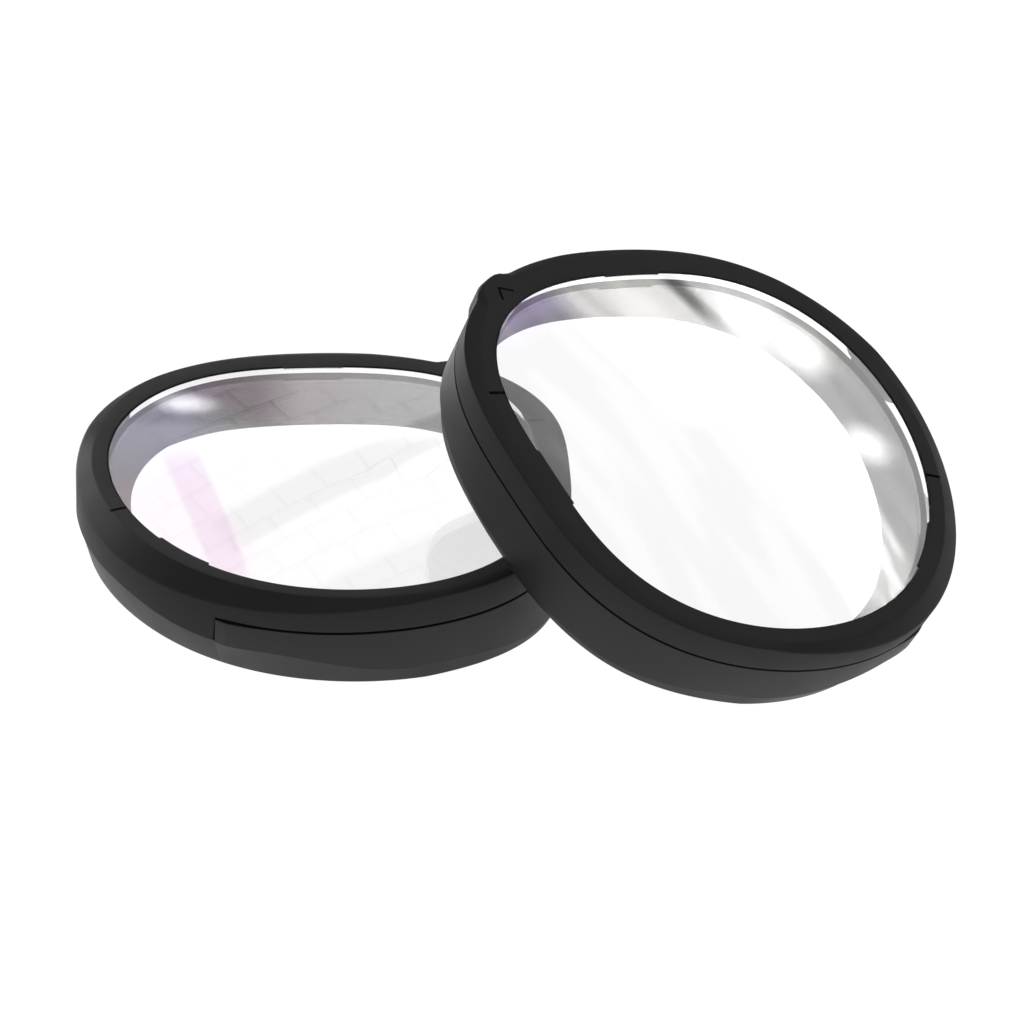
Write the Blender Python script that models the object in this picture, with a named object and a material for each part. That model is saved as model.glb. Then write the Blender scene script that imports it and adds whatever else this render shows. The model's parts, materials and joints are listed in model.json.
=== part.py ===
"""Pair of clip-on lens inserts for a headset: the left unit lies flat, the right one leans on it.

Each unit is a lens snapped into a frame ring, which four small magnets hold on an adapter ring.
Metres, +Z up. A unit's own frame: +X towards the nose, +Z out of the eye side, origin at the middle
of its base. An angle round a unit is 0 at the nose and 180 degrees at the temple.
"""

import math

import bmesh
import bpy
from mathutils import Matrix, Vector

MM = 0.001

# Outline of the rim that surrounds the lens: a mean radius and its waves (lobes, size, phase).
RIM_RADIUS = 24.5
RIM_WAVES = ((2, 0.55, -116), (3, 0.84, -61), (4, 0.62, -93), (5, 0.19, -90))

# Outer wall, measured outwards from the rim.
WALL_OFFSET = 3.32
WALL_WAVES = ((1, 0.20, -105), (2, 0.36, -44), (3, 0.23, 133))

HEIGHT = 9.9
PARTING_DEPTH = 3.3
PARTING_GAP = 0.25
GAP = 0.3
CHAMFER = 0.15
SHARP_ANGLE = 15

# Frame ring: flat land, bevel, wall, a seat under the lens and low clips over its edge.
LAND = 1.65
LAND_WIDE = 2.85
LAND_INSET = 0.25
FAR_ANGLE = 285
FAR_HALF = (35, 60)
FAR_BEVEL = 0.08
FAR_BASE = 1.3
BEVEL_DEPTH = 0.24
BEVEL_WAVES = ((1, 0.73, 159), (2, 0.81, -48))
BEVEL_LEAST = 0.06
RIM_EDGE = 0.06
LIP = 0.8
UNDERSIDE_DEPTH = 3.0
GROOVE = 0.1
GROOVE_TOP = 0.12
GROOVE_BOTTOM = 2.4
SEAT = -0.5
CLIP_REACH = 0.35
CLIPS = ((27.5, 18), (155, 16.5), (291, 17))

# Tongue: the part of the frame's wall that reaches down into a recess in the adapter ring.
TONGUE_ANGLE = 180
TONGUE_HALF = 40
TONGUE_SIDE_GAP = 0.8
TONGUE_LOW_MIDDLE = 4.8
TONGUE_LOW_ENDS = 6.0
TONGUE_RISE_START = 10
TONGUE_FACET = 0.22
TONGUE_FACET_WIDE = 2.6
TONGUE_FACET_FADE = 12

# Axis marks, pry slots, and a release tab with a chevron cut into it. A size is (out, along, deep).
MARK_ANGLES = (0, 180)
MARK_OFFSET = 0.625
MARK_SIZE = (2.25, 0.4, 0.8)
PRY_ANGLES = (140, 206)
PRY_OFFSET = 0.1
PRY_DEPTH = 0.27
PRY_SIZE = (1.0, 1.7, 0.3)
TAB_ANGLE = 328.5
TAB_HALF = 6.5
TAB_FLAT_SHARE = 0.3
TAB_LAND = 1.7
TAB_WALL = 0.8
CHEVRON_OFFSET = 2.0
CHEVRON_SPREAD = 1.05
CHEVRON_TURN = 38
CHEVRON_SIZE = (1.7, 0.28, 0.6)

# Lens: a meniscus with its domed side towards the eye.
LENS_OFFSET = -0.15
LENS_TOP_DEPTH = 0.32
LENS_BOTTOM_DEPTH = 2.1
LENS_TOP_SAG = 0.3
LENS_BOTTOM_SAG = 0.3
LENS_ROWS = (0.2, 0.4, 0.6, 0.8, 1)

# Adapter ring: its funnel, its band and the skirt that goes over the headset's lens barrel.
SPIGOT_GAP = 0.4
SPIGOT_DRAFT = 0.05
FUNNEL_TOP_OFFSET = -0.45
FUNNEL_SWING = 1.35
FUNNEL_DEPTH = 7.05
RECESS_DEPTH = 7.35
BAND_LOW = 8.3
BAND_HIGH = 6.3
BAND_RISE = (50, 82)
FLARE = 0.5
FLARE_DEPTH = 0.75
FLARE_ANGLE = 42
FLARE_HALF = (20, 50)
SKIRT_STEP = 0.1
BASE_OFFSET = 2.38
BASE_WAVES = ((1, 0.69, 35), (2, 0.52, 70))
BASE_INSET = 0.25
BASE_WALL = 0.9

# Grip liner inside the skirt.
LINER_THICKNESS = 0.7
LINER_TOP_DEPTH = 7.65
LINER_BOTTOM_DEPTH = 9.7

# Magnets: four in the frame ring, four facing them in the adapter ring.
MAGNET_ANGLES = (15, 130, 200, 290)
MAGNET_OFFSET = 1.35
MAGNET_RADIUS = 0.6
MAGNET_LENGTH = 1.3
MAGNET_SIDES = 20
MAGNET_SETBACK = 0.1
POCKET_CLEARANCE = 0.1

# How the two units lie.
LEFT_TURN = 32.6
LEAN_ANGLE = 23.45
LEAN_DIRECTION = -46.63
RIGHT_SPIN = -123.1
RIGHT_PLACE = (38.91, -0.45, 10.70)
PAIR_SHIFT = (-20.2, 0.92)

# Cross-sections round a ring, in degrees.
GRID_STEP = 5
GRID_CLEAR = 1.2
EDGE_HALF = 0.2
TAB_SHARES = (-1, -0.75, -0.5, -0.3, 0.3, 0.5, 0.75, 1)

BLACK = (0.022, 0.022, 0.023)
LINER_GREY = (0.05, 0.05, 0.055)
LENS_TINT = (0.93, 0.94, 0.97)
NICKEL = (0.62, 0.61, 0.59)


def clear_scene():
    for obj in list(bpy.data.objects):
        bpy.data.objects.remove(obj, do_unlink=True)


def new_collection(name, hidden=False):
    collection = bpy.data.collections.new(name)
    bpy.context.scene.collection.children.link(collection)
    collection.hide_render = hidden
    return collection


def wave_sum(mean, waves, angle):
    total = mean
    for lobes, size, phase in waves:
        total += size * math.cos(math.radians(lobes * angle - phase))
    return total


def turn_between(angle, centre):
    """Signed turn in degrees from centre to angle, between -180 and 180."""
    return (angle - centre + 180) % 360 - 180


def smooth_step(value, start, end):
    share = min(max((value - start) / (end - start), 0), 1)
    return share * share * (3 - 2 * share)


def inside(angle, centre, width):
    """1 on an arc of that width, 0 off it, with a steep side at each end."""
    distance = abs(turn_between(angle, centre)) - width / 2
    return 1 - smooth_step(distance, -EDGE_HALF, EDGE_HALF)


def on_tongue(angle, side_gap=0.0):
    return inside(angle, TONGUE_ANGLE, 2 * (TONGUE_HALF + side_gap))


def tab_share(angle):
    distance = abs(turn_between(angle, TAB_ANGLE))
    return 1 - smooth_step(distance, TAB_HALF * TAB_FLAT_SHARE, TAB_HALF)


def wall_offset(angle):
    return wave_sum(WALL_OFFSET, WALL_WAVES, angle)


def far_share(angle):
    """1 on the side away from the temple's bevel, where the land is widest."""
    return 1 - smooth_step(abs(turn_between(angle, FAR_ANGLE)), *FAR_HALF)


def land_width(angle):
    wide = LAND + (LAND_WIDE - LAND) * far_share(angle) + TAB_LAND * tab_share(angle)
    return min(wide, wall_offset(angle) + TAB_WALL * tab_share(angle) - LAND_INSET)


def bevel_depth(angle):
    return max(wave_sum(BEVEL_DEPTH, BEVEL_WAVES, angle), BEVEL_LEAST) + FAR_BEVEL * far_share(angle)


def clip_reach(angle):
    return CLIP_REACH * max(inside(angle, centre, width) for centre, width in CLIPS)


def tongue_depth(angle):
    """Depth of the tongue's lower edge, which rises towards the temple."""
    from_temple = abs(turn_between(angle, TONGUE_ANGLE))
    share = smooth_step(from_temple, TONGUE_RISE_START, TONGUE_HALF)
    return TONGUE_LOW_MIDDLE + (TONGUE_LOW_ENDS - TONGUE_LOW_MIDDLE) * share


def frame_low(angle):
    return PARTING_DEPTH + (tongue_depth(angle) - PARTING_DEPTH) * on_tongue(angle)


def band_low(angle):
    from_temple = abs(turn_between(angle, TONGUE_ANGLE))
    open_side = BAND_HIGH + (BAND_LOW - BAND_HIGH) * smooth_step(from_temple, *BAND_RISE)
    open_side += FLARE_DEPTH * flare_share(angle)
    recess = on_tongue(angle, TONGUE_SIDE_GAP)
    return open_side + (tongue_depth(angle) + GAP - open_side) * recess


def band_offset(angle):
    """The band steps in behind the tongue, and stands a little proud beside one end of it."""
    beside = turn_between(TONGUE_ANGLE, angle) - TONGUE_HALF - TONGUE_SIDE_GAP
    rise = min(max(beside / TONGUE_FACET_WIDE, 0), 1)
    proud = TONGUE_FACET * rise * (1 - smooth_step(beside, TONGUE_FACET_WIDE, TONGUE_FACET_FADE))
    return wall_offset(angle) + proud - (LIP + GAP) * on_tongue(angle, TONGUE_SIDE_GAP)


def flare_share(angle):
    """1 where the skirt leans outwards most, near the nose, and 0 away from it."""
    return 1 - smooth_step(abs(turn_between(angle, FLARE_ANGLE)), *FLARE_HALF)


def base_offset(angle):
    widest = wall_offset(angle) + FLARE * flare_share(angle) - BASE_INSET
    return min(wave_sum(BASE_OFFSET, BASE_WAVES, angle) + FAR_BASE * far_share(angle), widest)


def funnel_offset(angle):
    return FUNNEL_SWING * (math.cos(math.radians(angle)) - 1)


def rim_point(angle, offset, depth):
    """Point at an offset outwards from the rim and a depth below the land, in metres."""
    turn = math.radians(angle)
    radius = wave_sum(RIM_RADIUS, RIM_WAVES, angle)
    slope = 0.0
    for lobes, size, phase in RIM_WAVES:
        slope -= lobes * size * math.sin(math.radians(lobes * angle - phase))
    along = Vector((
        slope * math.cos(turn) - radius * math.sin(turn),
        slope * math.sin(turn) + radius * math.cos(turn),
        0,
    )).normalized()
    out = Vector((along.y, -along.x, 0))
    point = Vector((radius * math.cos(turn), radius * math.sin(turn), HEIGHT - depth))
    return (point + out * offset) * MM


def out_turn(angle):
    """Direction, in radians, of the outward normal of the rim at an angle."""
    step = rim_point(angle, 1, 0) - rim_point(angle, 0, 0)
    return math.atan2(step.y, step.x)


def stations():
    """Angles of the cross-sections: an even grid, with a close pair at each steep edge."""
    edges = []
    recess = TONGUE_HALF + TONGUE_SIDE_GAP
    for half in (TONGUE_HALF, recess, recess + TONGUE_FACET_WIDE):
        edges += [TONGUE_ANGLE - half, TONGUE_ANGLE + half]
    for centre, width in CLIPS:
        edges += [centre - width / 2, centre + width / 2]
    fine = [edge + side * EDGE_HALF for edge in edges for side in (-1, 1)]
    fine += [TAB_ANGLE + share * TAB_HALF for share in TAB_SHARES]
    grid = [angle for angle in range(0, 360, GRID_STEP)
            if min(abs(turn_between(angle, other)) for other in fine) > GRID_CLEAR]
    return sorted(grid + [angle % 360 for angle in fine])


STATIONS = stations()


def frame_section(angle):
    wall = wall_offset(angle) + TAB_WALL * tab_share(angle)
    land = land_width(angle)
    rim = -clip_reach(angle)
    inner_wall = wall_offset(angle) - LIP
    low = frame_low(angle)
    return [
        (rim, RIM_EDGE),
        (rim + RIM_EDGE, 0),
        (land, 0),
        (wall, bevel_depth(angle)),
        (wall, low),
        (inner_wall, low),
        (inner_wall, UNDERSIDE_DEPTH),
        (SEAT, UNDERSIDE_DEPTH),
        (SEAT, GROOVE_BOTTOM),
        (GROOVE, GROOVE_BOTTOM),
        (GROOVE, GROOVE_TOP),
        (rim, GROOVE_TOP),
    ]


def adapter_section(angle):
    wall = wall_offset(angle)
    spigot = wall - LIP - SPIGOT_GAP
    top = PARTING_DEPTH + PARTING_GAP
    base = base_offset(angle)
    funnel = funnel_offset(angle)
    flare = FLARE * flare_share(angle)
    return [
        (FUNNEL_TOP_OFFSET, PARTING_DEPTH),
        (spigot, PARTING_DEPTH),
        (spigot + SPIGOT_DRAFT, top),
        (band_offset(angle), top),
        (band_offset(angle) + flare, band_low(angle)),
        (wall + flare - SKIRT_STEP, band_low(angle)),
        (base, HEIGHT - CHAMFER),
        (base - CHAMFER, HEIGHT),
        (base - BASE_WALL, HEIGHT),
        (base - BASE_WALL, RECESS_DEPTH),
        (funnel, RECESS_DEPTH),
        (funnel, FUNNEL_DEPTH),
    ]


def liner_section(angle):
    outer = base_offset(angle) - BASE_WALL - GAP
    inner = outer - LINER_THICKNESS
    return [
        (outer, LINER_TOP_DEPTH),
        (outer, LINER_BOTTOM_DEPTH),
        (inner + CHAMFER, LINER_BOTTOM_DEPTH),
        (inner, LINER_BOTTOM_DEPTH - CHAMFER),
        (inner, LINER_TOP_DEPTH),
    ]


def finish_mesh(name, bm):
    bmesh.ops.recalc_face_normals(bm, faces=bm.faces)
    mesh = bpy.data.meshes.new(name)
    bm.to_mesh(mesh)
    bm.free()
    mesh.shade_smooth()
    mesh.set_sharp_from_angle(angle=math.radians(SHARP_ANGLE))
    return mesh


def join_rows(bm, first, second):
    for index in range(len(first)):
        after = (index + 1) % len(first)
        bm.faces.new((first[index], first[after], second[after], second[index]))


def ring_mesh(name, section, hand):
    """Closed ring whose section changes round the outline; hand is -1 for the mirrored unit."""
    bm = bmesh.new()
    rows = []
    for corner in range(len(section(0))):
        row = []
        for angle in STATIONS:
            offset, depth = section(angle)[corner]
            point = rim_point(angle, offset, depth)
            row.append(bm.verts.new((point.x, hand * point.y, point.z)))
        rows.append(row)
    for corner in range(len(rows)):
        join_rows(bm, rows[corner - 1], rows[corner])
    return finish_mesh(name, bm)


def lens_mesh(name, hand):
    """Meniscus with the rim's outline: rows shrink from the edge to a small flat cap."""
    bm = bmesh.new()
    levels = [(share, LENS_BOTTOM_DEPTH, LENS_BOTTOM_SAG) for share in LENS_ROWS]
    levels += [(share, LENS_TOP_DEPTH, LENS_TOP_SAG) for share in reversed(LENS_ROWS)]
    rows = []
    for share, edge_depth, sag in levels:
        row = []
        for angle in STATIONS:
            point = rim_point(angle, LENS_OFFSET, edge_depth - sag * (1 - share * share))
            row.append(bm.verts.new((share * point.x, hand * share * point.y, point.z)))
        rows.append(row)
    for lower, upper in zip(rows, rows[1:]):
        join_rows(bm, lower, upper)
    bm.faces.new(rows[0])
    bm.faces.new(rows[-1])
    return finish_mesh(name, bm)


def cylinder_mesh(name, radius, length):
    bm = bmesh.new()
    bmesh.ops.create_cone(
        bm,
        cap_ends=True,
        segments=MAGNET_SIDES,
        radius1=radius * MM,
        radius2=radius * MM,
        depth=length * MM,
    )
    return finish_mesh(name, bm)


def box_mesh(name, size):
    bm = bmesh.new()
    bmesh.ops.create_cube(bm, size=1)
    bmesh.ops.scale(bm, vec=Vector(size) * MM, verts=bm.verts)
    return finish_mesh(name, bm)


def plain_material(name, colour, roughness, metallic=0.0, alpha=1.0):
    material = bpy.data.materials.new(name)
    material.use_nodes = True
    material.diffuse_color = (*colour, alpha)
    shader = material.node_tree.nodes["Principled BSDF"]
    shader.inputs["Base Color"].default_value = (*colour, 1)
    shader.inputs["Roughness"].default_value = roughness
    shader.inputs["Metallic"].default_value = metallic
    shader.inputs["Alpha"].default_value = alpha
    return material


class Unit:
    """One insert: its empty, its hand and the collections that its objects go in."""

    def __init__(self, side, hand, matrix, parts, cutters):
        self.side = side
        self.hand = hand
        self.parts = parts
        self.cutters = cutters
        self.empty = bpy.data.objects.new(f"{side}_unit", None)
        self.empty.matrix_world = matrix
        parts.objects.link(self.empty)

    def place(self, name, mesh, collection, at=None, turn=0.0):
        obj = bpy.data.objects.new(name, mesh)
        collection.objects.link(obj)
        obj.parent = self.empty
        if at is not None:
            obj.location = (at.x, self.hand * at.y, at.z)
            obj.rotation_euler.z = self.hand * turn
        return obj

    def add(self, piece, mesh, material, at=None):
        obj = self.place(f"{self.side}_{piece}", mesh, self.parts, at)
        obj.data.materials.append(material)
        return obj

    def cut(self, target, name, mesh, at, turn=0.0):
        cutter = self.place(f"cut_{self.side}_{name}", mesh, self.cutters, at, turn)
        cutter.display_type = "WIRE"
        cutter.hide_render = True
        modifier = target.modifiers.new(name, "BOOLEAN")
        modifier.operation = "DIFFERENCE"
        modifier.solver = "EXACT"
        modifier.object = cutter


def cut_marks(unit, frame):
    """Axis marks across the land, small pry slots in the rim and a chevron on the tab."""
    for number, angle in enumerate(MARK_ANGLES, 1):
        mesh = box_mesh(f"axis_mark_{number}", MARK_SIZE)
        unit.cut(frame, f"axis_mark_{number}", mesh, rim_point(angle, MARK_OFFSET, 0), out_turn(angle))
    for number, angle in enumerate(PRY_ANGLES, 1):
        mesh = box_mesh(f"pry_slot_{number}", PRY_SIZE)
        at = rim_point(angle, PRY_OFFSET, PRY_DEPTH)
        unit.cut(frame, f"pry_slot_{number}", mesh, at, out_turn(angle))
    for number, side in enumerate((-1, 1), 1):
        mesh = box_mesh(f"chevron_{number}", CHEVRON_SIZE)
        at = rim_point(TAB_ANGLE + side * CHEVRON_SPREAD, CHEVRON_OFFSET, 0)
        turn = out_turn(TAB_ANGLE) - side * math.radians(CHEVRON_TURN)
        unit.cut(frame, f"chevron_{number}", mesh, at, turn)


def fit_magnets(unit, ring, group, face_depth, inwards):
    """Four magnets in blind pockets that open at face_depth; inwards is +1 when they go down."""
    for number, angle in enumerate(MAGNET_ANGLES, 1):
        name = f"{group}_magnet_{number}"
        pocket_length = 2 * (MAGNET_LENGTH + 2 * MAGNET_SETBACK)
        pocket = cylinder_mesh(f"{name}_pocket", MAGNET_RADIUS + POCKET_CLEARANCE, pocket_length)
        unit.cut(ring, f"{name}_pocket", pocket, rim_point(angle, MAGNET_OFFSET, face_depth))
        magnet = cylinder_mesh(name, MAGNET_RADIUS, MAGNET_LENGTH)
        depth = face_depth + inwards * (MAGNET_LENGTH / 2 + MAGNET_SETBACK)
        material = plain_material(f"{unit.side}_{name}_nickel", NICKEL, 0.25, metallic=1.0)
        unit.add(name, magnet, material, rim_point(angle, MAGNET_OFFSET, depth))


def build_unit(unit):
    rings = (
        ("lens_frame", frame_section, BLACK, 0.42),
        ("adapter_ring", adapter_section, BLACK, 0.45),
        ("grip_liner", liner_section, LINER_GREY, 0.8),
    )
    made = {}
    for name, section, colour, roughness in rings:
        material = plain_material(f"{unit.side}_{name}_plastic", colour, roughness)
        made[name] = unit.add(name, ring_mesh(name, section, unit.hand), material)
    clear = plain_material(f"{unit.side}_lens_clear", LENS_TINT, 0.03, alpha=0.3)
    unit.add("lens", lens_mesh("lens", unit.hand), clear)
    cut_marks(unit, made["lens_frame"])
    fit_magnets(unit, made["lens_frame"], "frame", UNDERSIDE_DEPTH, -1)
    fit_magnets(unit, made["adapter_ring"], "adapter", PARTING_DEPTH, 1)


def left_matrix():
    turn = Matrix.Rotation(math.radians(LEFT_TURN), 4, "Z")
    return Matrix.Translation(Vector((*PAIR_SHIFT, 0)) * MM) @ turn


def right_matrix():
    place = Vector(RIGHT_PLACE) + Vector((*PAIR_SHIFT, 0))
    towards = Matrix.Rotation(math.radians(LEAN_DIRECTION), 4, "Z")
    lean = Matrix.Rotation(math.radians(LEAN_ANGLE), 4, "Y")
    spin = Matrix.Rotation(math.radians(RIGHT_SPIN), 4, "Z")
    return Matrix.Translation(place * MM) @ towards @ lean @ spin


def main():
    clear_scene()
    parts = new_collection("lens_insert_pair")
    cutters = new_collection("cutters", hidden=True)
    build_unit(Unit("left", -1, left_matrix(), parts, cutters))
    build_unit(Unit("right", 1, right_matrix(), parts, cutters))


main()
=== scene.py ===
"""Looks of the lens insert pair: finely rounded rings, coated lenses and magnets.

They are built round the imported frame. Sizes are in millimetres in a unit's own frame, which has
+X towards the nose, +Z out of the eye side and its origin at the middle of its base. An angle
round a unit is 0 at the nose and 180 at the temple.
"""

import json
import math

import bmesh
import bpy
from mathutils import Matrix, Vector


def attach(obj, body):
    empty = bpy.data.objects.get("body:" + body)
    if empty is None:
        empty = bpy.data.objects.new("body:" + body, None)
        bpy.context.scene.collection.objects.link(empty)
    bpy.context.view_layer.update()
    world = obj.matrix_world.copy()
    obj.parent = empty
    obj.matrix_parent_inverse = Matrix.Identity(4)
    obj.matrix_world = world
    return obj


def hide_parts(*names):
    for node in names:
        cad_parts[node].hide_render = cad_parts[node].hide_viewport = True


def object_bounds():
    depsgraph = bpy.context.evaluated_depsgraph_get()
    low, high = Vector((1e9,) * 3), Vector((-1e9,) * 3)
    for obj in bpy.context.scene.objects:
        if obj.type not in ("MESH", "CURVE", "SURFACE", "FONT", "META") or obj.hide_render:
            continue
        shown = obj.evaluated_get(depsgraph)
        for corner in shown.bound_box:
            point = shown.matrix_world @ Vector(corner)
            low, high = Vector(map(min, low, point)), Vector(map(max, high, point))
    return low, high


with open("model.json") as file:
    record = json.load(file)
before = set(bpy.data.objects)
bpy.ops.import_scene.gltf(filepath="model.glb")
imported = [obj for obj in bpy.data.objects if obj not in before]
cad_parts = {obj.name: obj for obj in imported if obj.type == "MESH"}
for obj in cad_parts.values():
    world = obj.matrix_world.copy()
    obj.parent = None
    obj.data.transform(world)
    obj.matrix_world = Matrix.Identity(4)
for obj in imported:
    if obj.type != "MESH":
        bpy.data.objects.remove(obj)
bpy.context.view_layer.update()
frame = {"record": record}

MM = 0.001

# Outline of the rim round the lens, and the outer wall measured outwards from it.
RIM_RADIUS = 24.5
RIM_WAVES = ((2, 0.55, -116), (3, 0.84, -61), (4, 0.62, -93), (5, 0.19, -90))
WALL_OFFSET = 3.32
WALL_WAVES = ((1, 0.20, -105), (2, 0.36, -44), (3, 0.23, 133))

HEIGHT = 9.9
PARTING_DEPTH = 3.3
PARTING_GAP = 0.25
GAP = 0.3
CHAMFER = 0.15

# Frame ring.
LAND = 1.65
LAND_WIDE = 2.85
LAND_INSET = 0.25
FAR_ANGLE = 285
FAR_HALF = (35, 60)
FAR_BEVEL = 0.08
FAR_BASE = 1.3
BEVEL_DEPTH = 0.24
BEVEL_WAVES = ((1, 0.73, 159), (2, 0.81, -48))
BEVEL_LEAST = 0.06
RIM_EDGE = 0.06
LIP = 0.8
UNDERSIDE_DEPTH = 3.0
GROOVE = 0.1
GROOVE_TOP = 0.12
GROOVE_BOTTOM = 2.4
SEAT = -0.5
CLIP_REACH = 0.35
CLIPS = ((27.5, 18), (155, 16.5), (291, 17))
TONGUE_ANGLE = 180
TONGUE_HALF = 40
TONGUE_SIDE_GAP = 0.06
TONGUE_GAP = 0.08
TONGUE_LOW_MIDDLE = 4.8
TONGUE_LOW_ENDS = 6.0
TONGUE_RISE_START = 10
TONGUE_FACET = 0.22
TONGUE_FACET_WIDE = 2.6
TONGUE_FACET_FADE = 12
TAB_ANGLE = 328.5
TAB_HALF = 6.5
TAB_FLAT_SHARE = 0.3
TAB_LAND = 1.7
TAB_WALL = 0.8

# Cuts in the frame ring. A size is (out, along, deep).
MARK_ANGLES = (0, 180)
MARK_OFFSET = 0.625
MARK_SIZE = (2.25, 0.4, 0.8)
PRY_ANGLES = (140, 206)
PRY_OFFSET = 0.1
PRY_DEPTH = 0.27
PRY_SIZE = (1.0, 1.7, 0.3)
CHEVRON_OFFSET = 2.0
CHEVRON_SPREAD = 1.05
CHEVRON_TURN = 38
CHEVRON_SIZE = (1.7, 0.28, 0.6)

# Lens: a shallow meniscus with a polished side wall, nearly flush with the land.
LENS_OFFSET = -0.15
LENS_TOP_DEPTH = 0.15
LENS_BOTTOM_DEPTH = 2.05
LENS_TOP_SAG = 0.3
LENS_BOTTOM_SAG = 0.3
LENS_ROWS = 20

# Adapter ring and grip liner.
SPIGOT_GAP = 0.4
SPIGOT_DRAFT = 0.05
FUNNEL_TOP_OFFSET = -0.45
FUNNEL_SWING = 1.35
FUNNEL_DEPTH = 7.05
RECESS_DEPTH = 7.35
BAND_LOW = 8.3
BAND_HIGH = 6.3
BAND_RISE = (50, 82)
FLARE = 0.5
FLARE_DEPTH = 0.75
FLARE_ANGLE = 42
FLARE_HALF = (20, 50)
SKIRT_STEP = 0.1
BASE_OFFSET = 2.38
BASE_WAVES = ((1, 0.69, 35), (2, 0.52, 70))
BASE_INSET = 0.25
BASE_WALL = 0.9
LINER_THICKNESS = 0.7
LINER_TOP_DEPTH = 7.65
LINER_BOTTOM_DEPTH = 9.7
LINER_RIBS = 3
LINER_RIB_DEPTH = 0.12

# How far the corners of the sections are rounded, and the most of an edge that a rounding takes.
ROUND_GROOVE = 0.03
ROUND_UNDERSIDE = 0.04
ROUND_SEAT = 0.05
ROUND_SEAT_EDGE = 0.06
ROUND_PARTING = 0.07
ROUND_RIM = 0.08
ROUND_EDGE = 0.1
ROUND_LAND = 0.12
ROUND_BEVEL = 0.2
ROUND_MOST_SHARE = 0.45

MAGNET_ANGLES = (15, 130, 200, 290)
MAGNET_OFFSET = 1.35
MAGNET_RADIUS = 0.6
MAGNET_LENGTH = 1.3
MAGNET_SETBACK = 0.1
MAGNET_BEVEL = 0.12
POCKET_CLEARANCE = 0.1

# Directions of the two noses, seen from above, in degrees from +X.
NOSE_HEADINGS = {"left": 32.6, "right": -167.51}

# Camera: focal length, sensor width, nearest and farthest distance in metres, place from the
# middle of the left unit's base, and turn in degrees.
CAMERA_LENS = 86.29
CAMERA_SENSOR = 36
CAMERA_CLIP = (0.01, 20)
CAMERA_FROM_LEFT = (20, -232.5, 141.2)
CAMERA_TURN = (59.744, -4.549, 2.649)

# Light. A place is heading, height, half-width, half-height and turn, all in degrees.
# A panel is its place, how soft its edge is, its colour and strength, and the size, low share and
# turn of soft bands across it. A strength under 0 takes light away.
SKY_BASE = (0.4, 0.4, 0.4)
WHITE = (1, 1, 1)
PANELS = (
    # Window behind the left unit: its pane, two crossing bars, a tinted post and tinted corners.
    ((96.5, 30, 6.7, 8.5, 0), 0.08, WHITE, 1.0, None),
    ((95, 31.6, 8, 4.1, 0), 0.08, WHITE, 0.45, None),
    ((94.2, 29.5, 5.4, 0.8, 36), 0.15, WHITE, -0.75, None),
    ((91.8, 34.2, 4.2, 1.35, 34.5), 0.12, WHITE, -0.65, None),
    ((99.2, 31.8, 0.62, 3.0, 17), 0.2, (0.5, 1, 0.55), -1.0, None),
    ((93, 25.5, 3.6, 2.4, 0), 0.25, WHITE, 1.05, None),
    ((97.4, 25.4, 2.8, 1.6, -15), 0.5, (0.35, 0.85, 0.55), -0.33, None),
    ((101.3, 27, 2.2, 2.4, 0), 0.5, (0.3, 0.25, 1), 0.55, None),
    ((99.8, 32.5, 1.5, 2.8, 30), 0.4, (-0.2, 1, 0), -0.35, None),
    # Window above the right unit: its sill and pane, brighter patches and a dark bar.
    ((48, 44.4, 15, 3.2, 3.9), 0.1, WHITE, 2.3, None),
    ((48, 48.5, 15, 7.5, 3.9), 0.1, WHITE, 1.6, (1.4, 0.7, 3.9)),
    ((54.8, 46.4, 4.8, 2.9, 3.9), 0.25, WHITE, 4.6, (0.8, 0.75, 3.9)),
    ((56, 46.0, 2.6, 0.3, 3.9), 0.8, WHITE, -7.0, None),
    ((40.4, 45.3, 3.4, 1.1, 3.9), 0.3, WHITE, 5.5, (0.5, 0.3, 3.9)),
    ((61, 51.8, 3.4, 2.3, 3.9), 0.4, (0.55, 0.35, 1), 2.2, None),
    # Low back light on the left.
    ((130, 2, 20, 9, 0), 0.4, WHITE, 15.0, None),
)
# Thin lines across the window: place, softness, strength, and a brick's length, height, line
# width and turn.
LATTICE = ((95, 30.4, 6, 5, 0), 0.1, -0.5, (1.7, 1.15, 0.035, 35))
# A lamp is its place, colour and strength.
LAMP_SOFTNESS = 0.9
LAMPS = (
    ((99.7, 26.4, 0.75, 0.4, 0), WHITE, 4),
    ((53.4, 44.9, 1.7, 0.9, 0), WHITE, 3),
    ((50.9, 43.6, 1.1, 0.6, 0), WHITE, 5),
    ((45.8, 43.5, 0.85, 0.55, 20), WHITE, 7),
)
# Soft bands: how much longer than wide they are, and the noise values between which they fade.
BAND_STRETCH = 9
BAND_EDGES = (0.44, 0.56)

# A plastic is its darker and lighter colour, its roughness and its specular level. The sheen
# spread is how far that roughness drifts down and up.
FRAME_PLASTIC = ((0.012, 0.012, 0.0122), (0.016, 0.016, 0.0163), 0.62, 0.26)
ADAPTER_PLASTIC = ((0.011, 0.011, 0.0112), (0.014, 0.014, 0.0143), 0.5, 0.4)
SHEEN_SPREAD = (-0.04, 0.05)
# Values of a noise between which a colour or a number changes, and those for smears on a lens.
NOISE_SPAN = (0.3, 0.7)
SMEAR_SPAN = (0.4, 0.8)

# Light table: half its width in metres, and how brightly it glows.
FLOOR_HALF = 3
FLOOR_GLOW = 0.99

# Fineness of the meshes. Angles are in degrees, and the tolerance is in metres.
GRID_STEP = 1.0
GRID_CLOSEST = GRID_STEP / 3
EDGE_HALF = 0.2
EDGE_STEPS = 4
ARC_STEPS = 3
CYLINDER_SEGMENTS = 48
BEVEL_SEGMENTS = 3
SHARP_ANGLE = 50
CUT_SHARP_ANGLE = 35
LEVEL_TOLERANCE = 1e-7


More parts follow.
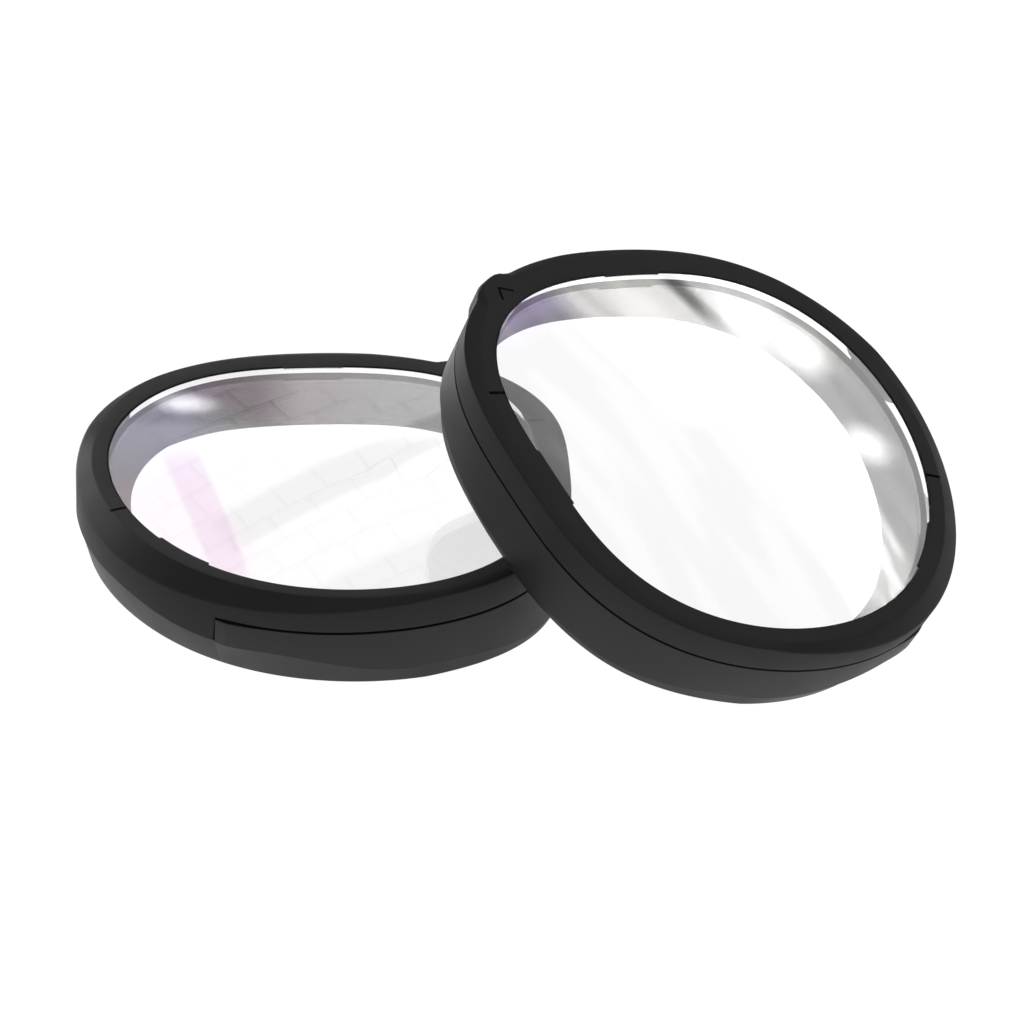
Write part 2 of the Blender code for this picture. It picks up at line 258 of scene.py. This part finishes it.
def wave_sum(mean, waves, angle):
    return mean + sum(size * math.cos(math.radians(n * angle - phase)) for n, size, phase in waves)


def turn_between(angle, centre):
    return (angle - centre + 180) % 360 - 180


def smooth_step(value, start, end):
    share = min(max((value - start) / (end - start), 0), 1)
    return share * share * (3 - 2 * share)


def inside(angle, centre, width):
    distance = abs(turn_between(angle, centre)) - width / 2
    return 1 - smooth_step(distance, -EDGE_HALF, EDGE_HALF)


def on_tongue(angle, side_gap=0.0):
    return inside(angle, TONGUE_ANGLE, 2 * (TONGUE_HALF + side_gap))


def tab_share(angle):
    distance = abs(turn_between(angle, TAB_ANGLE))
    return 1 - smooth_step(distance, TAB_HALF * TAB_FLAT_SHARE, TAB_HALF)


def wall_offset(angle):
    return wave_sum(WALL_OFFSET, WALL_WAVES, angle)


def far_share(angle):
    """1 on the side away from the temple's bevel, where the land is widest."""
    return 1 - smooth_step(abs(turn_between(angle, FAR_ANGLE)), *FAR_HALF)


def land_width(angle):
    wide = LAND + (LAND_WIDE - LAND) * far_share(angle) + TAB_LAND * tab_share(angle)
    return min(wide, wall_offset(angle) + TAB_WALL * tab_share(angle) - LAND_INSET)


def bevel_depth(angle):
    depth = max(wave_sum(BEVEL_DEPTH, BEVEL_WAVES, angle), BEVEL_LEAST)
    return depth + FAR_BEVEL * far_share(angle)


def clip_reach(angle):
    return CLIP_REACH * max(inside(angle, centre, width) for centre, width in CLIPS)


def tongue_depth(angle):
    from_temple = abs(turn_between(angle, TONGUE_ANGLE))
    share = smooth_step(from_temple, TONGUE_RISE_START, TONGUE_HALF)
    return TONGUE_LOW_MIDDLE + (TONGUE_LOW_ENDS - TONGUE_LOW_MIDDLE) * share


def frame_low(angle):
    return PARTING_DEPTH + (tongue_depth(angle) - PARTING_DEPTH) * on_tongue(angle)


def band_low(angle):
    from_temple = abs(turn_between(angle, TONGUE_ANGLE))
    open_side = BAND_HIGH + (BAND_LOW - BAND_HIGH) * smooth_step(from_temple, *BAND_RISE)
    open_side += FLARE_DEPTH * flare_share(angle)
    recess = on_tongue(angle, TONGUE_SIDE_GAP)
    return open_side + (tongue_depth(angle) + TONGUE_GAP - open_side) * recess


def band_offset(angle):
    """The band steps in behind the tongue, and stands a little proud beside one end of it."""
    beside = turn_between(TONGUE_ANGLE, angle) - TONGUE_HALF - TONGUE_SIDE_GAP
    rise = min(max(beside / TONGUE_FACET_WIDE, 0), 1)
    proud = TONGUE_FACET * rise * (1 - smooth_step(beside, TONGUE_FACET_WIDE, TONGUE_FACET_FADE))
    return wall_offset(angle) + proud - (LIP + GAP) * on_tongue(angle, TONGUE_SIDE_GAP)


def flare_share(angle):
    """1 where the skirt leans outwards most, near the nose, and 0 away from it."""
    return 1 - smooth_step(abs(turn_between(angle, FLARE_ANGLE)), *FLARE_HALF)


def base_offset(angle):
    widest = wall_offset(angle) + FLARE * flare_share(angle) - BASE_INSET
    return min(wave_sum(BASE_OFFSET, BASE_WAVES, angle) + FAR_BASE * far_share(angle), widest)


def funnel_offset(angle):
    return FUNNEL_SWING * (math.cos(math.radians(angle)) - 1)


def rim_point(angle, offset, depth):
    """Point at an offset outwards from the rim and a depth below the land, in metres."""
    turn = math.radians(angle)
    radius = wave_sum(RIM_RADIUS, RIM_WAVES, angle)
    slope = -sum(
        n * size * math.sin(math.radians(n * angle - phase)) for n, size, phase in RIM_WAVES
    )
    along = Vector((
        slope * math.cos(turn) - radius * math.sin(turn),
        slope * math.sin(turn) + radius * math.cos(turn),
        0,
    )).normalized()
    out = Vector((along.y, -along.x, 0))
    point = Vector((radius * math.cos(turn), radius * math.sin(turn), HEIGHT - depth))
    return (point + out * offset) * MM


def out_turn(angle):
    step = rim_point(angle, 1, 0) - rim_point(angle, 0, 0)
    return math.atan2(step.y, step.x)


def stations():
    """Angles of the cross-sections: an even grid, with close ones across each steep edge."""
    edges = []
    recess = TONGUE_HALF + TONGUE_SIDE_GAP
    for half in (TONGUE_HALF, recess, recess + TONGUE_FACET_WIDE):
        edges += [TONGUE_ANGLE - half, TONGUE_ANGLE + half]
    for centre, width in CLIPS:
        edges += [centre - width / 2, centre + width / 2]
    shares = [step * 2 / EDGE_STEPS - 1 for step in range(EDGE_STEPS + 1)]
    fine = [edge + share * EDGE_HALF for edge in edges for share in shares]
    count = round(360 / GRID_STEP)
    grid = [index * GRID_STEP for index in range(count)]
    clear = [
        angle
        for angle in grid
        if min(abs(turn_between(angle, edge)) for edge in fine) > GRID_CLOSEST
    ]
    return sorted(clear + [angle % 360 for angle in fine])


STATIONS = stations()


def frame_section(angle):
    """Corners of the frame ring's section, each an offset, a depth and how much it is rounded."""
    wall = wall_offset(angle) + TAB_WALL * tab_share(angle)
    land = land_width(angle)
    rim = -clip_reach(angle)
    inner_wall = wall_offset(angle) - LIP
    low = frame_low(angle)
    return [
        (rim, RIM_EDGE, ROUND_RIM),
        (rim + RIM_EDGE, 0, ROUND_RIM),
        (land, 0, ROUND_LAND),
        (wall, bevel_depth(angle), ROUND_BEVEL),
        (wall, low, ROUND_PARTING),
        (inner_wall, low, ROUND_PARTING),
        (inner_wall, UNDERSIDE_DEPTH, ROUND_UNDERSIDE),
        (SEAT, UNDERSIDE_DEPTH, ROUND_SEAT_EDGE),
        (SEAT, GROOVE_BOTTOM, ROUND_SEAT),
        (GROOVE, GROOVE_BOTTOM, ROUND_GROOVE),
        (GROOVE, GROOVE_TOP, ROUND_GROOVE),
        (rim, GROOVE_TOP, ROUND_RIM),
    ]


def adapter_section(angle):
    """Section of the adapter ring, from its spigot round the band and skirt to the funnel."""
    wall = wall_offset(angle)
    spigot = wall - LIP - SPIGOT_GAP
    top = PARTING_DEPTH + PARTING_GAP
    base = base_offset(angle)
    funnel = funnel_offset(angle)
    flare = FLARE * flare_share(angle)
    return [
        (FUNNEL_TOP_OFFSET, PARTING_DEPTH, ROUND_LAND),
        (spigot, PARTING_DEPTH, ROUND_SEAT),
        (spigot + SPIGOT_DRAFT, top, ROUND_GROOVE),
        (band_offset(angle), top, ROUND_PARTING),
        (band_offset(angle) + flare, band_low(angle), ROUND_LAND),
        (wall + flare - SKIRT_STEP, band_low(angle), ROUND_EDGE),
        (base, HEIGHT - CHAMFER, ROUND_EDGE),
        (base - CHAMFER, HEIGHT, ROUND_EDGE),
        (base - BASE_WALL, HEIGHT, ROUND_EDGE),
        (base - BASE_WALL, RECESS_DEPTH, ROUND_EDGE),
        (funnel, RECESS_DEPTH, ROUND_EDGE),
        (funnel, FUNNEL_DEPTH, ROUND_EDGE),
    ]


def liner_section(angle):
    """Section of the soft ring, with low ribs on the face that grips the lens barrel."""
    outer = base_offset(angle) - BASE_WALL - GAP
    inner = outer - LINER_THICKNESS
    low = LINER_BOTTOM_DEPTH - CHAMFER
    corners = [
        (outer, LINER_TOP_DEPTH, ROUND_SEAT),
        (outer, LINER_BOTTOM_DEPTH, ROUND_RIM),
        (inner + CHAMFER, LINER_BOTTOM_DEPTH, ROUND_EDGE),
        (inner, low, ROUND_EDGE),
    ]
    pitch = (low - LINER_TOP_DEPTH) / (LINER_RIBS + 0.5)
    for rib in range(LINER_RIBS):
        depth = low - (rib + 0.5) * pitch
        corners.append((inner + LINER_RIB_DEPTH, depth, ROUND_EDGE))
        corners.append((inner, depth - pitch / 2, ROUND_EDGE))
    corners.append((inner, LINER_TOP_DEPTH, ROUND_SEAT))
    return corners


def rounded(corners):
    """The section with each corner turned into a short curve."""
    points = []
    for index, (offset, depth, reach) in enumerate(corners):
        corner = Vector((offset, depth))
        before = Vector(corners[index - 1][:2]) - corner
        after = Vector(corners[(index + 1) % len(corners)][:2]) - corner
        start = corner + before.normalized() * min(reach, ROUND_MOST_SHARE * before.length)
        end = corner + after.normalized() * min(reach, ROUND_MOST_SHARE * after.length)
        for step in range(ARC_STEPS + 1):
            share = step / ARC_STEPS
            points.append(start.lerp(corner, share).lerp(corner.lerp(end, share), share))
    return points


def finish_mesh(name, bm):
    """A smooth-shaded mesh of the bmesh, with its faces turned outwards."""
    bmesh.ops.recalc_face_normals(bm, faces=bm.faces)
    mesh = bpy.data.meshes.new(name)
    bm.to_mesh(mesh)
    bm.free()
    mesh.shade_smooth()
    mesh.set_sharp_from_angle(angle=math.radians(SHARP_ANGLE))
    return mesh


def join_rows(bm, first, second):
    """Faces between two closed rows of vertices."""
    for index in range(len(first)):
        after = (index + 1) % len(first)
        bm.faces.new((first[index], first[after], second[after], second[index]))


def ring_mesh(name, section, hand):
    """A closed ring: the rounded section at every station, joined corner by corner."""
    bm = bmesh.new()
    sections = [rounded(section(angle)) for angle in STATIONS]
    rows = []
    for corner in range(len(sections[0])):
        row = []
        for angle, points in zip(STATIONS, sections):
            point = rim_point(angle, *points[corner])
            row.append(bm.verts.new((point.x, hand * point.y, point.z)))
        rows.append(row)
    for corner in range(len(rows)):
        join_rows(bm, rows[corner - 1], rows[corner])
    return finish_mesh(name, bm)


def lens_levels():
    """Share of the outline and depth of each row, from the underside's middle to the dome's."""
    shares = [math.sin(math.radians(90 * (row + 1) / LENS_ROWS)) for row in range(LENS_ROWS)]
    levels = []
    for share in shares:
        levels.append((share, LENS_BOTTOM_DEPTH - LENS_BOTTOM_SAG * (1 - share * share)))
    for share in reversed(shares):
        levels.append((share, LENS_TOP_DEPTH - LENS_TOP_SAG * (1 - share * share)))
    return levels


def lens_mesh(name, hand):
    """A meniscus with the rim's outline, closed by a fan at each middle."""
    bm = bmesh.new()
    rows = []
    for share, depth in lens_levels():
        row = []
        for angle in STATIONS:
            point = rim_point(angle, LENS_OFFSET, depth)
            row.append(bm.verts.new((share * point.x, hand * share * point.y, point.z)))
        rows.append(row)
    for lower, upper in zip(rows, rows[1:]):
        join_rows(bm, lower, upper)
    for row in (rows[0], rows[-1]):
        middle = sum((vert.co for vert in row), Vector()) / len(row)
        centre = bm.verts.new(middle)
        for index in range(len(row)):
            bm.faces.new((row[index], row[(index + 1) % len(row)], centre))
    return finish_mesh(name, bm)


def cylinder_mesh(name, radius, length, bevel=0.0):
    bm = bmesh.new()
    bmesh.ops.create_cone(
        bm,
        cap_ends=True,
        segments=CYLINDER_SEGMENTS,
        radius1=radius * MM,
        radius2=radius * MM,
        depth=length * MM,
    )
    if bevel:
        rims = []
        for edge in bm.edges:
            rise = edge.verts[0].co.z - edge.verts[1].co.z
            if abs(rise) < LEVEL_TOLERANCE:
                rims.append(edge)
        bmesh.ops.bevel(
            bm,
            geom=rims,
            offset=bevel * MM,
            segments=BEVEL_SEGMENTS,
            affect="EDGES",
            profile=0.5,
        )
    return finish_mesh(name, bm)


def box_mesh(name, size):
    bm = bmesh.new()
    bmesh.ops.create_cube(bm, size=1)
    bmesh.ops.scale(bm, vec=Vector(size) * MM, verts=bm.verts)
    return finish_mesh(name, bm)


def socket_mount(side):
    mounts = frame["record"]["mounts"]
    return next(mount for mount in mounts if mount["name"] == f"{side}_barrel_socket")


def mount_point(side):
    return Vector(socket_mount(side)["pos_m"])


def unit_matrix(side):
    """A unit's place, from the mount in the middle of its base and the way its nose points."""
    mount = socket_mount(side)
    out = -Vector(mount["axis"]).normalized()
    heading = math.radians(NOSE_HEADINGS[side])
    nose = Vector((math.cos(heading), math.sin(heading), 0))
    nose.z = -nose.dot(out) / out.z
    nose.normalize()
    turn = Matrix((nose, out.cross(nose), out)).transposed().to_4x4()
    return Matrix.Translation(mount_point(side)) @ turn


class Unit:
    """One insert: its hand, its place and the empty that its pieces are built under."""

    def __init__(self, side, hand):
        self.side = side
        self.hand = hand
        self.matrix = unit_matrix(side)

    def place(self, name, mesh, at=None, turn=0.0):
        obj = bpy.data.objects.new(name, mesh)
        bpy.context.scene.collection.objects.link(obj)
        local = Matrix.Identity(4)
        if at is not None:
            spin = Matrix.Rotation(self.hand * turn, 4, "Z")
            local = Matrix.Translation((at.x, self.hand * at.y, at.z)) @ spin
        obj.matrix_world = self.matrix @ local
        return obj

    def add(self, piece, mesh, material, body, slot, at=None):
        """A piece that stands for the CAD node of the same name and rides on that node's body."""
        node = f"{self.side}_{piece}"
        obj = self.place(f"{node}_look", mesh, at)
        obj.data.materials.append(material)
        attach(obj, f"{self.side}_{body}")
        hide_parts(node)
        return obj


def cut(target, cutters):
    """Cuts the cutters out of the target's mesh and removes them."""
    for cutter in cutters:
        modifier = target.modifiers.new(cutter.name, "BOOLEAN")
        modifier.operation = "DIFFERENCE"
        modifier.solver = "EXACT"
        modifier.object = cutter
    bpy.context.view_layer.update()
    graph = bpy.context.evaluated_depsgraph_get()
    mesh = bpy.data.meshes.new_from_object(target.evaluated_get(graph), depsgraph=graph)
    target.modifiers.clear()
    target.data = mesh
    mesh.shade_smooth()
    mesh.set_sharp_from_angle(angle=math.radians(CUT_SHARP_ANGLE))
    for cutter in cutters:
        bpy.data.objects.remove(cutter, do_unlink=True)


def mark_cutters(unit):
    """Axis marks across the land, pry slots in the rim and a chevron on the tab."""
    cutters = []
    for angle in MARK_ANGLES:
        at = rim_point(angle, MARK_OFFSET, 0)
        cutters.append(unit.place("cut_mark", box_mesh("cut_mark", MARK_SIZE), at, out_turn(angle)))
    for angle in PRY_ANGLES:
        at = rim_point(angle, PRY_OFFSET, PRY_DEPTH)
        cutters.append(unit.place("cut_pry", box_mesh("cut_pry", PRY_SIZE), at, out_turn(angle)))
    for side in (-1, 1):
        at = rim_point(TAB_ANGLE + side * CHEVRON_SPREAD, CHEVRON_OFFSET, 0)
        turn = out_turn(TAB_ANGLE) - side * math.radians(CHEVRON_TURN)
        cutters.append(unit.place("cut_chevron", box_mesh("cut_chevron", CHEVRON_SIZE), at, turn))
    return cutters


def pocket_cutters(unit, face_depth):
    """Blind holes for the magnets in a face."""
    length = 2 * (MAGNET_LENGTH + 2 * MAGNET_SETBACK)
    cutters = []
    for angle in MAGNET_ANGLES:
        mesh = cylinder_mesh("cut_pocket", MAGNET_RADIUS + POCKET_CLEARANCE, length)
        cutters.append(unit.place("cut_pocket", mesh, rim_point(angle, MAGNET_OFFSET, face_depth)))
    return cutters


class Tree:
    """Short way to build a node tree."""

    def __init__(self, tree):
        self.tree = tree

    def node(self, kind, **settings):
        made = self.tree.nodes.new(kind)
        for key, value in settings.items():
            if key in made.inputs:
                made.inputs[key].default_value = value
            else:
                setattr(made, key, value)
        return made

    def link(self, source, target):
        self.tree.links.new(source, target)

    def remap(self, value, start, end, low, high, **settings):
        """A number that goes from low to high as the value goes from start to end."""
        made = self.node("ShaderNodeMapRange", **settings)
        limits = {"From Min": start, "From Max": end, "To Min": low, "To Max": high}
        for key, number in limits.items():
            made.inputs[key].default_value = number
        self.link(value, made.inputs["Value"])
        return made.outputs["Result"]


class Nodes(Tree):
    """Node tree of a material."""

    def __init__(self, name):
        self.material = bpy.data.materials.new(name)
        self.material.use_nodes = True
        super().__init__(self.material.node_tree)
        self.shader = self.tree.nodes["Principled BSDF"]

    def set(self, socket, value):
        self.shader.inputs[socket].default_value = value

    def place(self):
        """Texture coordinates in millimetres."""
        scale = self.node("ShaderNodeMapping")
        scale.inputs["Scale"].default_value = (1 / MM,) * 3
        self.link(self.node("ShaderNodeTexCoord").outputs["Object"], scale.inputs["Vector"])
        return scale.outputs["Vector"]

    def noise(self, place, size, detail, roughness=0.5):
        made = self.node(
            "ShaderNodeTexNoise", Scale=1 / size, Detail=detail, Roughness=roughness
        )
        self.link(place, made.inputs["Vector"])
        return made.outputs["Fac"]

    def vary(self, socket, noise, low, high, span=NOISE_SPAN):
        """Drives one of the shader's numbers from a noise."""
        self.link(self.remap(noise, *span, low, high), self.shader.inputs[socket])

    def colour(self, noise, first, second):
        """Blends the base colour between two colours by a noise."""
        made = self.node("ShaderNodeMix", data_type="RGBA")
        made.inputs["A"].default_value = (*first, 1)
        made.inputs["B"].default_value = (*second, 1)
        self.link(self.remap(noise, *NOISE_SPAN, 0, 1), made.inputs["Factor"])
        self.link(made.outputs["Result"], self.shader.inputs["Base Color"])

    def bump(self, height, strength, distance):
        made = self.node("ShaderNodeBump", Strength=strength, Distance=distance * MM)
        self.link(height, made.inputs["Height"])
        self.link(made.outputs["Normal"], self.shader.inputs["Normal"])


def plastic(name, dark, light, rough, specular):
    """Moulded matte nylon: a fine spark-eroded grain, slow flow mottling and uneven sheen."""
    nodes = Nodes(name)
    place = nodes.place()
    grain = nodes.noise(place, size=0.09, detail=3, roughness=0.6)
    mottle = nodes.noise(place, size=4.0, detail=3)
    nodes.colour(mottle, dark, light)
    smoother, rougher = SHEEN_SPREAD
    nodes.vary("Roughness", mottle, low=rough + smoother, high=rough + rougher)
    nodes.set("Specular IOR Level", specular)
    nodes.bump(grain, strength=0.12, distance=0.02)
    return nodes.material


def rubber(name):
    """Soft grey rubber with a coarse grain and a faint bloom."""
    nodes = Nodes(name)
    place = nodes.place()
    grain = nodes.noise(place, size=0.15, detail=4, roughness=0.65)
    bloom = nodes.noise(place, size=2.5, detail=3)
    nodes.colour(bloom, (0.035, 0.035, 0.038), (0.06, 0.06, 0.064))
    nodes.vary("Roughness", bloom, low=0.72, high=0.86)
    nodes.set("Specular IOR Level", 0.3)
    nodes.bump(grain, strength=0.4, distance=0.03)
    return nodes.material


def nickel(name):
    """Satin nickel plating with a slight haze."""
    nodes = Nodes(name)
    place = nodes.place()
    haze = nodes.noise(place, size=0.25, detail=4, roughness=0.6)
    nodes.colour(haze, (0.58, 0.57, 0.54), (0.7, 0.69, 0.66))
    nodes.set("Metallic", 1)
    nodes.vary("Roughness", haze, low=0.2, high=0.34)
    nodes.bump(haze, strength=0.1, distance=0.01)
    return nodes.material


def coated_lens(name):
    """Clear resin with an anti-reflection film whose thickness drifts across the lens."""
    nodes = Nodes(name)
    place = nodes.place()
    drift = nodes.noise(place, size=26.0, detail=1)
    smear = nodes.noise(place, size=5.0, detail=4, roughness=0.6)
    nodes.vary("Roughness", smear, low=0.0, high=0.012, span=SMEAR_SPAN)
    # The grey tint is painted shade: it darkens the floor seen through the lens, standing in for
    # the shade inside the ring.
    nodes.set("Base Color", (0.87, 0.87, 0.873, 1))
    nodes.set("Transmission Weight", 1)
    nodes.set("IOR", 1.5)
    nodes.vary("Thin Film Thickness", drift, low=8, high=26)
    nodes.set("Thin Film IOR", 1.38)
    return nodes.material


def build_unit(unit, materials):
    """Every piece of one unit, each on the body of the CAD node that it stands for."""
    mesh = ring_mesh("lens_frame", frame_section, unit.hand)
    ring = unit.add("lens_frame", mesh, materials["frame"], "frame", "frame_black")
    cut(ring, mark_cutters(unit) + pocket_cutters(unit, UNDERSIDE_DEPTH))
    mesh = ring_mesh("adapter_ring", adapter_section, unit.hand)
    ring = unit.add("adapter_ring", mesh, materials["adapter"], "adapter", "adapter_black")
    cut(ring, pocket_cutters(unit, PARTING_DEPTH))
    mesh = ring_mesh("grip_liner", liner_section, unit.hand)
    unit.add("grip_liner", mesh, materials["liner"], "adapter", "liner_grey")
    mesh = lens_mesh("lens", unit.hand)
    unit.add("lens", mesh, materials["lens"], "frame", "lens_clear")
    for group, face_depth, inwards in (
        ("frame", UNDERSIDE_DEPTH, -1),
        ("adapter", PARTING_DEPTH, 1),
    ):
        depth = face_depth + inwards * (MAGNET_LENGTH / 2 + MAGNET_SETBACK)
        for number, angle in enumerate(MAGNET_ANGLES, 1):
            name = f"{unit.side}_magnet"
            mesh = cylinder_mesh(name, MAGNET_RADIUS, MAGNET_LENGTH, MAGNET_BEVEL)
            at = rim_point(angle, MAGNET_OFFSET, depth)
            piece = f"{group}_magnet_{number}"
            unit.add(piece, mesh, materials["magnet"], group, "magnet_nickel", at)


def build_camera():
    data = bpy.data.cameras.new("camera")
    data.lens = CAMERA_LENS
    data.sensor_width = CAMERA_SENSOR
    camera = bpy.data.objects.new("camera", data)
    camera.location = mount_point("left") + Vector(CAMERA_FROM_LEFT) * MM
    camera.rotation_euler = [math.radians(turn) for turn in CAMERA_TURN]
    data.clip_start, data.clip_end = CAMERA_CLIP
    bpy.context.scene.collection.objects.link(camera)
    bpy.context.scene.camera = camera


def build_floor():
    """A white light table under the left unit."""
    nodes = Nodes("floor_white")
    place = nodes.place()
    paper = nodes.noise(place, size=0.6, detail=4)
    nodes.colour(paper, (0.06, 0.06, 0.06), (0.08, 0.08, 0.08))
    nodes.set("Roughness", 0.9)
    nodes.set("Specular IOR Level", 0.0)
    nodes.set("Emission Color", (1, 1, 1, 1))
    nodes.set("Emission Strength", FLOOR_GLOW)
    bm = bmesh.new()
    bmesh.ops.create_grid(bm, x_segments=1, y_segments=1, size=FLOOR_HALF)
    floor = bpy.data.objects.new("floor", finish_mesh("floor", bm))
    floor.data.materials.append(nodes.material)
    bpy.context.scene.collection.objects.link(floor)
    floor.location.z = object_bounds()[0].z


class Sky(Tree):
    """World light as a function of the direction's heading and height in degrees."""

    def __init__(self):
        world = bpy.data.worlds.new("studio")
        bpy.context.scene.world = world
        world.use_nodes = True
        super().__init__(world.node_tree)
        self.background = self.tree.nodes["Background"]
        direction = self.node("ShaderNodeSeparateXYZ")
        self.link(self.node("ShaderNodeTexCoord").outputs["Generated"], direction.inputs[0])
        heading = self.math("ARCTAN2", direction.outputs["Y"], direction.outputs["X"])
        height = self.math("ARCSINE", direction.outputs["Z"])
        self.angles = self.node("ShaderNodeCombineXYZ")
        self.link(self.math("DEGREES", heading), self.angles.inputs["X"])
        self.link(self.math("DEGREES", height), self.angles.inputs["Y"])
        self.total = None

    def math(self, operation, *sources):
        made = self.node("ShaderNodeMath", operation=operation)
        for source, socket in zip(sources, made.inputs):
            self.link(source, socket)
        return made.outputs[0]

    def fade(self, value, soft):
        """1 while the value is under 1, falling softly to 0 past it."""
        return self.remap(value, 1 + soft, 1 - soft, 0, 1, interpolation_type="SMOOTHSTEP")

    def local(self, heading, height, half_width, half_height, turn):
        """Coordinates that run from -1 to 1 across a panel."""
        made = self.node("ShaderNodeMapping", vector_type="TEXTURE")
        made.inputs["Location"].default_value = (heading, height, 0)
        made.inputs["Rotation"].default_value = (0, 0, math.radians(turn))
        made.inputs["Scale"].default_value = (half_width, half_height, 1)
        self.link(self.angles.outputs["Vector"], made.inputs["Vector"])
        return made.outputs["Vector"]

    def add(self, amount, colour, strength):
        tinted = self.node("ShaderNodeVectorMath", operation="SCALE")
        tinted.inputs[0].default_value = [channel * strength for channel in colour]
        self.link(amount, tinted.inputs["Scale"])
        if self.total is None:
            self.total = tinted.outputs["Vector"]
            return
        both = self.node("ShaderNodeVectorMath")
        self.link(self.total, both.inputs[0])
        self.link(tinted.outputs["Vector"], both.inputs[1])
        self.total = both.outputs["Vector"]

    def rectangle(self, place, soft):
        """1 inside the place and 0 outside it, with a soft edge."""
        parts = self.node("ShaderNodeSeparateXYZ")
        self.link(self.local(*place), parts.inputs[0])
        across = self.fade(self.math("ABSOLUTE", parts.outputs["X"]), soft)
        along = self.fade(self.math("ABSOLUTE", parts.outputs["Y"]), soft)
        return self.math("MULTIPLY", across, along)

    def lattice(self, place, soft, strength, brick):
        """Thin lines in the pattern of a brick wall across a rectangle."""
        length, height, line, turn = brick
        wall = self.node("ShaderNodeTexBrick", Scale=1)
        wall.inputs["Brick Width"].default_value = length
        wall.inputs["Row Height"].default_value = height
        wall.inputs["Mortar Size"].default_value = line
        self.link(self.local(place[0], place[1], 1, 1, turn), wall.inputs["Vector"])
        amount = self.math("MULTIPLY", self.rectangle(place, soft), wall.outputs["Fac"])
        self.add(amount, WHITE, strength)

    def panel(self, place, soft, colour, strength, stripes):
        """A rectangle of light, which may have soft bands across it."""
        amount = self.rectangle(place, soft)
        if stripes:
            amount = self.math("MULTIPLY", amount, self.bands(place, *stripes))
        self.add(amount, colour, strength)

    def bands(self, place, size, low, turn):
        noise = self.node("ShaderNodeTexNoise", Scale=1, Detail=1)
        pattern = self.local(place[0], place[1], size * BAND_STRETCH, size, turn)
        self.link(pattern, noise.inputs["Vector"])
        return self.remap(
            noise.outputs["Fac"], *BAND_EDGES, low, 1, interpolation_type="SMOOTHSTEP"
        )

    def lamp(self, place, colour, strength):
        """A round soft light."""
        length = self.node("ShaderNodeVectorMath", operation="LENGTH")
        self.link(self.local(*place), length.inputs[0])
        self.add(self.fade(length.outputs["Value"], LAMP_SOFTNESS), colour, strength)

    def finish(self, base):
        both = self.node("ShaderNodeVectorMath")
        both.inputs[0].default_value = base
        self.link(self.total, both.inputs[1])
        self.link(both.outputs["Vector"], self.background.inputs["Color"])
        self.background.inputs["Strength"].default_value = 1


def build_light():
    """A pale studio: windows behind the pair, a low back light on its left and a few lamps."""
    sky = Sky()
    for panel in PANELS:
        sky.panel(*panel)
    sky.lattice(*LATTICE)
    for lamp in LAMPS:
        sky.lamp(*lamp)
    sky.finish(SKY_BASE)
    bpy.context.scene.view_settings.view_transform = "Standard"


def main():
    build_camera()
    materials = {
        "frame": plastic("frame_black", *FRAME_PLASTIC),
        "adapter": plastic("adapter_black", *ADAPTER_PLASTIC),
        "liner": rubber("liner_grey"),
        "magnet": nickel("magnet_nickel"),
        "lens": coated_lens("lens_clear"),
    }
    build_unit(Unit("left", -1), materials)
    build_unit(Unit("right", 1), materials)
    build_floor()
    build_light()


main()
